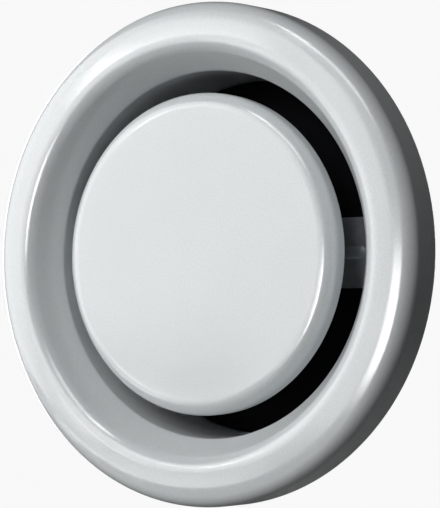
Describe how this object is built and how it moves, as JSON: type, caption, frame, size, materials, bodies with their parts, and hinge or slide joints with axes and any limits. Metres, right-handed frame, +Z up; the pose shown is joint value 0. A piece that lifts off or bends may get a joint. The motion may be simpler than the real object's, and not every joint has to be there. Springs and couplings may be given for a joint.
{
  "type": "extract air valve",
  "caption": "Round steel disc valve for an extract duct: a funnel ring with a collar, and a domed-edge disc that screws in and out on a spindle to set the air slot.",
  "frame": {"origin": "on the valve's axis, in the plane of the wall that the rim's rear edge bears on", "axes": "+Y along the axis into the duct, -Y out of the valve's face into the room, +Z up, +X to the right of someone facing the valve"},
  "size_m": [0.1638, 0.0575, 0.1638],
  "materials": {
    "powder_coat": "gloss white powder coat",
    "foam": "matt closed-cell foam",
    "zinc_sheet": "galvanised sheet",
    "zinc_plate": "bright zinc plating"
  },
  "bodies": {
    "valve_body": {"ring": "powder_coat", "gasket": "foam", "bridge": "zinc_sheet", "bush": "zinc_plate", "lock_washer": "zinc_plate"},
    "spindle_travel": {"hub_washer": "zinc_plate"},
    "disc": {"disc": "powder_coat", "hub_plate": "zinc_sheet", "spindle": "zinc_plate", "hub_nut": "zinc_plate"},
    "lock_nut": {"lock_nut": "zinc_plate"}
  },
  "joints": [
    {"name": "spindle_slide", "type": "slide", "parent": "valve_body", "child": "spindle_travel", "axis": [0, -1, 0], "range_m": [-0.00876, 0.01251]},
    {"name": "disc_turn", "type": "hinge", "parent": "spindle_travel", "child": "disc", "pos_m": [0, 0, 0], "axis": [0, -1, 0], "range_deg": [-2520, 3600]},
    {"name": "lock_turn", "type": "hinge", "parent": "valve_body", "child": "lock_nut", "pos_m": [0, 0.02, 0], "axis": [0, 1, 0], "range_deg": [0, 180]}
  ],
  "couplings": [
    {"joint": "spindle_slide", "follows": "disc_turn", "m_per_rad": 0.00019894}
  ]
}
